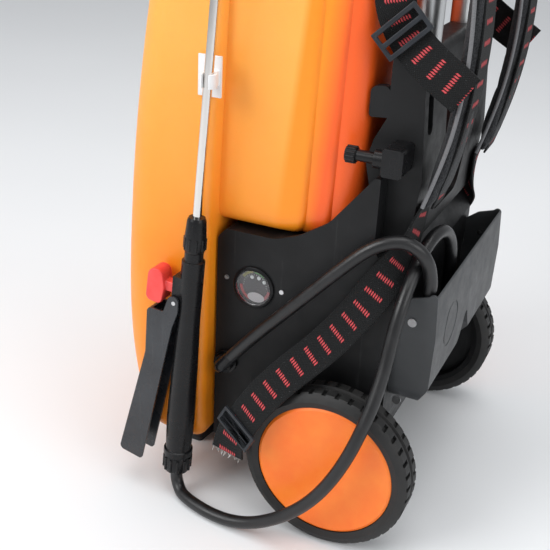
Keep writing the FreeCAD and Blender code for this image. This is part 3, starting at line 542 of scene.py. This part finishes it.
# spray hose
hoseLook = {"diameter": 0.012, "length": 1.043, "steps": 12}
hoseRoute = [
    (.148, .0425, .160), (.148, .060, .182), (.148, .086, .211), (.147, .115, .243), (.143, .144, .275),
    (.138, .167, .298), (.131, .191, .306), (.123, .209, .293), (.112, .214, .268), (.110, .213, .240),
    (.110, .211, .214), (.109, .210, .194), (.099, .209, .176), (.081, .208, .165), (.059, .208, .165),
    (.041, .209, .176), (.031, .210, .194), (.029, .210, .216), (.030, .210, .240), (.034, .210, .264),
    (.046, .209, .284), (.066, .207, .296), (.086, .203, .294), (.104, .1998, .283), (.124, .1998, .271),
    (.141, .198, .251), (.150, .196, .227), (.158, .195, .202), (.170, .193, .176), (.182, .188, .149),
    (.189, .180, .122), (.193, .169, .096), (.194, .154, .070), (.194, .135, .047), (.193, .113, .028),
    (.192, .090, .014), (.191, .067, .0075), (.189, .046, .0063), (.184, .026, .0063), (.1785, .012, .0063),
    (.1735, .004, .0065), (.1689, -.0021, .0114), (.1663, -.0056, .019), (.166, -.005, .028)]


def routeCurve(name, points, diameter, steps):
    curve = bpy.data.curves.new(name, "CURVE")
    curve.dimensions = "3D"
    spline = curve.splines.new("NURBS")
    spline.points.add(len(points) - 1)
    for point, place in zip(spline.points, points):
        point.co = (*place, 1)
    spline.order_u = 3
    spline.use_endpoint_u = True
    spline.resolution_u = steps
    curve.bevel_depth = diameter / 2
    curve.bevel_resolution = 6
    curve.use_fill_caps = True
    piece = bpy.data.objects.new(name, curve)
    scene.collection.objects.link(piece)
    return piece


sprayHose = routeCurve("sprayHose", hoseRoute, hoseLook["diameter"], hoseLook["steps"])
sprayHose.data.materials.append(finishes["hoseRubber"])
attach(sprayHose, "chassis")
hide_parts("spray_hose")
print("hose laid")

# shoulder pads: foam in a mesh cloth, with a piped edge and a strap sewn down the outer face
padLook = {"width": 0.049, "thickness": 0.0062, "voxel": 0.004, "pressure": 4.0, "cap": 0.005, "piping": 0.0034,
           "strapLift": 0.0062}
padRoute = [((.090, .216, .540), (0, 1, .15)), ((.090, .222, .480), (0, 1, 0)), ((.090, .220, .420), (0, 1, 0)),
            ((.090, .211, .370), (0, 1, -.2)), ((.093, .199, .330), (0, 1, -.25))]


def swell(piece, pressure, cap):
    cloth = piece.modifiers.new("cloth", "CLOTH")
    cloth.settings.use_pressure = True
    cloth.settings.uniform_pressure_force = pressure
    cloth.settings.effector_weights.gravity = 0
    for step in range(1, 21):
        scene.frame_set(step)
    grown = piece.evaluated_get(bpy.context.evaluated_depsgraph_get()).data
    ends = [vert.co.copy() for vert in grown.vertices]
    piece.modifiers.remove(cloth)
    for vert, end in zip(piece.data.vertices, ends):
        move = end - vert.co
        vert.co += move if move.length < cap else move.normalized() * cap
    scene.frame_set(1)


def shifted(stations, sideways, outwards):
    moved = []
    for index, (place, outward) in enumerate(stations):
        before = Vector(stations[max(index - 1, 0)][0])
        after = Vector(stations[min(index + 1, len(stations) - 1)][0])
        away = Vector(outward).normalized()
        across = (after - before).cross(away).normalized()
        moved.append((tuple(Vector(place) + across * sideways + away * outwards), outward))
    return moved


def addPad(name, stations):
    bm = flatStrip(stations, padLook["width"], 6)
    piece = addPiece(name, bm, "chassis", "padCloth", ["shoulder_pads"])
    addModifier(piece, "SUBSURF", levels=2, render_levels=2, boundary_smooth="PRESERVE_CORNERS")
    addModifier(piece, "SOLIDIFY", thickness=padLook["thickness"], offset=0, use_even_offset=True)
    addModifier(piece, "REMESH", mode="VOXEL", voxel_size=padLook["voxel"], use_smooth_shade=True)
    applyModifiers(piece)
    swell(piece, padLook["pressure"], padLook["cap"])
    addModifier(piece, "SUBSURF", levels=1, render_levels=1)
    for edge, sideways in (("Inner", -0.5), ("Outer", 0.5)):
        line = [place for place, outward in shifted(stations, sideways * padLook["width"], 0)]
        piping = routeCurve(name + edge + "Piping", line, padLook["piping"], 8)
        piping.data.materials.append(finishes["pipingCloth"])
        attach(piping, "chassis")
    addStrap(name + "Strap", shifted(stations, 0, padLook["strapLift"]), None)


addPad("padNear", padRoute)
addPad("padFar", mirrorStations(padRoute))
print("shoulder pads filled")

# round gauge: a printed dial, three lamps and a pale bezel ring
gaugeLook = {"middle": (.054, .227), "ring": 0.0179, "ringFront": 0.1307, "lampFront": 0.1252, "lamp": 0.0019,
             "lamps": [(-0.0033, 0.0088), (0.0036, 0.0090), (0.0092, 0.0060)],
             "arcs": [(48, 96, (0.05, 0.30, 0.04)), (98, 150, (0.26, 0.24, 0.04)),
                      (-178, -110, (0.55, 0.02, 0.03)), (-60, -10, (0.40, 0.06, 0.08))]}


# printed dial: dark face, coloured arcs near its edge and a pale blank label
def dialPaint():
    material = newMaterial("dialPaint")
    y, z = gaugeLook["middle"]
    place = addNode(material, "TexCoord").outputs["Object"]
    centred = addNode(material, "Mapping", {"Vector": place, "Location": (0, -y, -z)}).outputs[0]
    axes = addNode(material, "SeparateXYZ", {0: centred}).outputs
    across, up = axes[1], axes[2]
    reach = calc(material, "SQRT", calc(material, "ADD", calc(material, "MULTIPLY", across, across),
                                        calc(material, "MULTIPLY", up, up)))
    angle = calc(material, "DEGREES", calc(material, "ARCTAN2", up, across))
    ringBand = calc(material, "MULTIPLY", spread(material, reach, 0.0128, 0.0132, 0, 1),
                    spread(material, reach, 0.0156, 0.0160, 1, 0))
    grain = noiseOn(material, centred, 900, 3)
    colour = mixColours(material, grain, (0.012, 0.007, 0.012), (0.022, 0.013, 0.021))
    for low, high, tint in gaugeLook["arcs"]:
        inArc = calc(material, "MULTIPLY", spread(material, angle, low, low + 3, 0, 1),
                     spread(material, angle, high - 3, high, 1, 0))
        colour = mixColours(material, calc(material, "MULTIPLY", ringBand, inArc), colour, tint)
    ticks = calc(material, "FRACT", calc(material, "DIVIDE", angle, 12.0))
    inTick = calc(material, "MULTIPLY", spread(material, ticks, 0.10, 0.16, 1, 0),
                  calc(material, "MULTIPLY", spread(material, reach, 0.0108, 0.0110, 0, 1),
                       spread(material, reach, 0.0122, 0.0124, 1, 0)))
    inTick = calc(material, "MULTIPLY", inTick, spread(material, up, -0.002, 0.0, 0, 1))
    colour = mixColours(material, inTick, colour, (0.7, 0.7, 0.68))
    labelAcross = calc(material, "DIVIDE", calc(material, "SUBTRACT", across, 0.0012), 0.0088)
    labelUp = calc(material, "DIVIDE", calc(material, "ADD", up, 0.0112), 0.0050)
    labelReach = calc(material, "ADD", calc(material, "MULTIPLY", labelAcross, labelAcross),
                      calc(material, "MULTIPLY", labelUp, labelUp))
    colour = mixColours(material, spread(material, labelReach, 0.92, 1.0, 1, 0), colour, (0.62, 0.58, 0.60))
    return finishMaterial(material, colour, spread(material, grain, 0.3, 0.7, 0.28, 0.4), grain, 0.00002)


def addGauge():
    y, z = gaugeLook["middle"]
    turn = Matrix.Rotation(math.radians(90), 4, "Y")
    tip = Matrix.Rotation(math.radians(90), 4, "X")
    ringStart = (gaugeLook["ringFront"], y, z + gaugeLook["ring"])
    bm = bmesh.new()
    bmesh.ops.create_circle(bm, radius=0.0006, segments=10,
                            matrix=Matrix.Translation(ringStart) @ tip @ turn)
    bmesh.ops.spin(bm, geom=bm.edges[:], cent=(gaugeLook["ringFront"], y, z), axis=(1, 0, 0),
                   angle=math.radians(360), steps=72, use_merge=True)
    bmesh.ops.remove_doubles(bm, verts=bm.verts, dist=0.00002)
    bmesh.ops.recalc_face_normals(bm, faces=bm.faces)
    addPiece("gaugeRing", bm, "chassis", "gaugeRing", sharp=60)
    bm = bmesh.new()
    for across, up in gaugeLook["lamps"]:
        middle = (gaugeLook["lampFront"], y + across, z + up)
        place = Matrix.Translation(middle) @ Matrix.Diagonal((0.5, 1, 1, 1))
        bmesh.ops.create_uvsphere(bm, u_segments=16, v_segments=10, radius=gaugeLook["lamp"], matrix=place)
    addPiece("gaugeLamps", bm, "chassis", "lampWhite")


finishes["dialPaint"] = dialPaint()
refinish("gauge_face", "dialPaint")
addGauge()
print("gauge set")

# floor, lights and camera
stageLook = {"floor": (0.80, 0.81, 0.82), "camera": (0.840, 0.387, 0.612), "turn": 113.7, "pitch": 25.3,
             "roll": 3.0, "lens": 62.2}


def addFloor():
    material = newMaterial("paleFloor")
    clouds = noiseOn(material, objectPlace(material), 2.0, 4, 0.5)
    colour = mixColours(material, clouds, stageLook["floor"], tuple(c * 1.03 for c in stageLook["floor"]))
    finishMaterial(material, colour, spread(material, clouds, 0.3, 0.7, 0.5, 0.62), clouds, 0.0001)
    bm = bmesh.new()
    bmesh.ops.create_grid(bm, x_segments=2, y_segments=2, size=6)
    mesh = bpy.data.meshes.new("floor")
    bm.to_mesh(mesh)
    bm.free()
    floor = bpy.data.objects.new("floor", mesh)
    mesh.materials.append(material)
    scene.collection.objects.link(floor)


def addLight(name, place, aim, size, power, colour=(1, 1, 1)):
    light = bpy.data.lights.new(name, "AREA")
    light.shape = "RECTANGLE"
    light.size, light.size_y = size
    light.energy = power
    light.color = colour
    holder = bpy.data.objects.new(name, light)
    holder.location = place
    holder.rotation_euler = (Vector(aim) - Vector(place)).to_track_quat("-Z", "Y").to_euler()
    scene.collection.objects.link(holder)


def addCamera():
    camera = bpy.data.cameras.new("camera")
    camera.lens = stageLook["lens"]
    camera.sensor_width = 36
    camera.clip_start = 0.02
    holder = bpy.data.objects.new("camera", camera)
    turn = Matrix.Rotation(math.radians(stageLook["turn"]), 3, "Z")
    tip = Matrix.Rotation(math.radians(90 - stageLook["pitch"]), 3, "X")
    lean = Matrix.Rotation(math.radians(stageLook["roll"]), 3, "Z")
    holder.rotation_euler = (turn @ tip @ lean).to_euler()
    holder.location = stageLook["camera"]
    scene.collection.objects.link(holder)
    scene.camera = holder


addFloor()
addLight("sideLight", (1.7, -1.2, 1.6), (0, 0.05, 0.3), (1.4, 1.4), 34)
addLight("topLight", (0.2, 0.3, 2.4), (0, 0.05, 0.2), (1.8, 1.8), 28)
addLight("fillLight", (0.8, 2.2, 1.2), (0, 0.1, 0.25), (1.6, 1.2), 15)
addCamera()
world = bpy.data.worlds.new("studio")
world.use_nodes = True
world.node_tree.nodes["Background"].inputs[0].default_value = (0.95, 0.97, 1.0, 1)
world.node_tree.nodes["Background"].inputs[1].default_value = 0.55
scene.world = world
scene.view_settings.view_transform = "Standard"
print("stage set")
